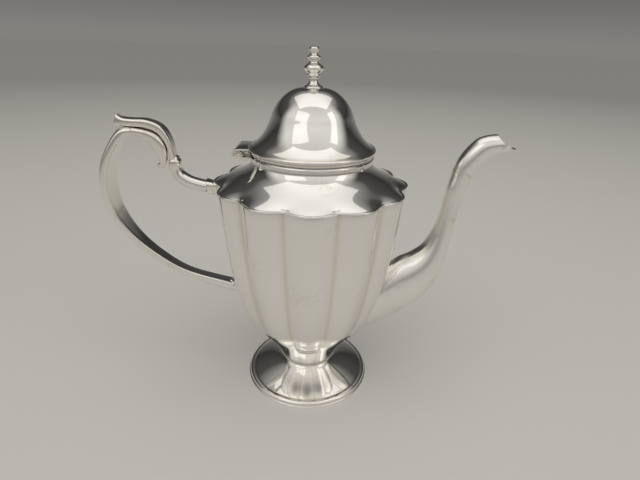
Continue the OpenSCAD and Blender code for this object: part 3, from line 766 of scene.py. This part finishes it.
def spout_rings(count=48):
    """Rings of points, from inside the bowl's wall to the mouth, whose sides are cut back."""
    angles = [math.tau * k / count for k in range(count)]
    root = [on_bowl(13.6 * math.sin(a), ROOT_Z + 30 * math.cos(a), 1) for a in angles]
    rings = [[p + Vector((-1.2, 0, 0)) for p in root], root]
    for ux, uz, lx, lz, w in spout_stations:
        up = Vector((ROOT_X + ux, 0, ROOT_Z + uz))
        low = Vector((ROOT_X + lx, 0, ROOT_Z + lz))
        middle, half = (up + low) / 2, (up - low) / 2
        rings.append([middle + half * math.cos(a) + Vector((0, w * math.sin(a), 0))
                      for a in angles])
    for k, a in enumerate(angles):
        rings[-1][k] -= Vector((0.95, 0, 0.3)) * 2.6 * math.sin(a) ** 2
    return rings


bm = draw_rings(spout_rings(), 10)
# the solder line where the beak was joined on, square to the spout's own direction
beak_x, beak_z, beak_at = 0.33, 0.94, 199.6
mark_shade_and_tarnish(bm, lambda co: 0.8 * (co.z > 0.17)
            * fade(abs(co.x / MM * beak_x + co.z / MM * beak_z - beak_at), 0, 0.9))
finish_piece("swan_neck_spout", bm, sheet_silver, "pot", "spout", sharp=0, wall=0.9)

# %% [markdown]
# ## The hinge
# The pot's leaf is a bracket on the neck with a knuckle at each end; the lid's leaf is a plate
# over them that bends down at the back and carries the middle knuckle. A turned pin goes through
# all three. Each is a flat outline, extruded along the pin, with its edges eased by a file.

# %% Hinge
PIN_X, PIN_Z, PIN_R = -48.9, 185.8, 1.25
KNUCKLE_R, HALF_LEAF = 3.1, 13
FIXED_X = -40.6     # where the bracket goes into the neck
PLATE_X, PLATE_TOP, PLATE_LOW = -42.3, 190.4, 189.2
BEND_OUT, BEND_IN = 4.55, 3.42      # radii of the plate's bend, round the pin
BACK_EDGE = 186     # degrees round the pin; further down it would meet the bracket when open


def arc(radius, start, end, count):
    """count + 1 points round the pin, from the angle start to end in degrees (90 is up)."""
    return [(PIN_X + radius * math.cos(math.radians(start + (end - start) * k / count)),
             PIN_Z + radius * math.sin(math.radians(start + (end - start) * k / count)))
            for k in range(count + 1)]


def along_pin(bm, outline, y0, y1, ease):
    """Extrudes an outline of (x, z) from y0 to y1 and eases the edges of its two ends."""
    dots = [bm.verts.new((x * MM, y0 * MM, z * MM)) for x, z in outline]
    face = bm.faces.new(dots)
    made = bmesh.ops.extrude_face_region(bm, geom=[face])["geom"]
    verts = [g for g in made if isinstance(g, bmesh.types.BMVert)]
    bmesh.ops.translate(bm, vec=(0, (y1 - y0) * MM, 0), verts=verts)
    rims = {e for v in dots + verts for e in v.link_edges
            if abs(e.verts[0].co.y - e.verts[1].co.y) < 1e-7}
    bmesh.ops.bevel(bm, geom=list(rims), offset=ease * MM, offset_type="OFFSET", segments=3,
                    profile=0.5, affect="EDGES", material=-1)


bm = bmesh.new()
for y0, y1 in ((-HALF_LEAF, -4.65), (4.65, HALF_LEAF)):
    along_pin(bm, arc(KNUCKLE_R, 14, 270, 40)
              + [(FIXED_X, 182.7), (FIXED_X, 185.1), (-46.2, 185.1)], y0, y1, 0.25)
along_pin(bm, [(-44.6, 182.75), (FIXED_X, 182.75), (FIXED_X, 185.05), (-44.6, 185.05)],
          -4.7, 4.7, 0.2)
bmesh.ops.recalc_face_normals(bm, faces=bm.faces)
mark_shade_and_tarnish(bm, lambda co: 0.25)
finish_piece("hinge_bracket", bm, cast_silver, "pot", "hinge_pot_leaf", sharp=30)

bm = bmesh.new()
along_pin(bm, arc(BEND_OUT, BACK_EDGE, 100, 20)
          + [(PIN_X + 1.0, PLATE_TOP), (PLATE_X, PLATE_TOP), (PLATE_X, PLATE_LOW)]
          + arc(BEND_IN, 86, BACK_EDGE, 20), -HALF_LEAF, HALF_LEAF, 0.3)
along_pin(bm, arc(KNUCKLE_R, -90, 250, 40) + [(PIN_X - 0.3, PIN_Z - 2.6)], -4.3, 4.3, 0.25)
along_pin(bm, [(-50.3, 188.0), (-47.5, 188.0), (-47.5, 189.4), (-50.3, 189.4)], -4.2, 4.2, 0.1)
bmesh.ops.recalc_face_normals(bm, faces=bm.faces)
mark_shade_and_tarnish(bm, lambda co: 0.25)
finish_piece("hinge_plate", bm, cast_silver, "lid", "hinge_lid_leaf", sharp=30)

bm = bmesh.new()
along_pin(bm, arc(PIN_R, 0, 345, 23), -HALF_LEAF - 0.35, HALF_LEAF + 0.35, 0.35)
bmesh.ops.recalc_face_normals(bm, faces=bm.faces)
mark_shade_and_tarnish(bm, lambda co: 0.4)
finish_piece("hinge_rivet_pin", bm, turned_silver, "pot", "hinge_pin", sharp=40)

# %% [markdown]
# ## Washer and nut inside the lid
# They show only with the lid open. The washer is turned, so it is spun. The nut is a six-sided
# prism with its corners turned down: a cone with two equal ends and six sides, bevelled.

# %% Washer and nut
NUT_R, NUT_H, NUT_Z = 4.04, 2.4, 226.1
bm = spin_line([(0, 228.1), (4.8, 228.1), (5.0, 227.9), (5.0, 227.5), (4.8, 227.3), (0, 227.3)],
               72)
finish_piece("stud_washer", bm, nut_brass, "lid", "finial_washer")
bm = bmesh.new()
bmesh.ops.create_cone(bm, cap_ends=True, segments=6, radius1=NUT_R * MM, radius2=NUT_R * MM,
                      depth=NUT_H * MM, matrix=Matrix.Translation((0, 0, NUT_Z * MM)))
bmesh.ops.bevel(bm, geom=list(bm.edges), offset=0.22 * MM, offset_type="OFFSET", segments=2,
                profile=0.5, affect="EDGES", material=-1)
finish_piece("stud_nut", bm, nut_brass, "lid", "finial_nut", sharp=30)

# %% [markdown]
# ## The last step
# The Standard view transform shows a colour about as it is written, so that the silver can be
# judged.

# %% Finish
bpy.context.scene.view_settings.view_transform = "Standard"
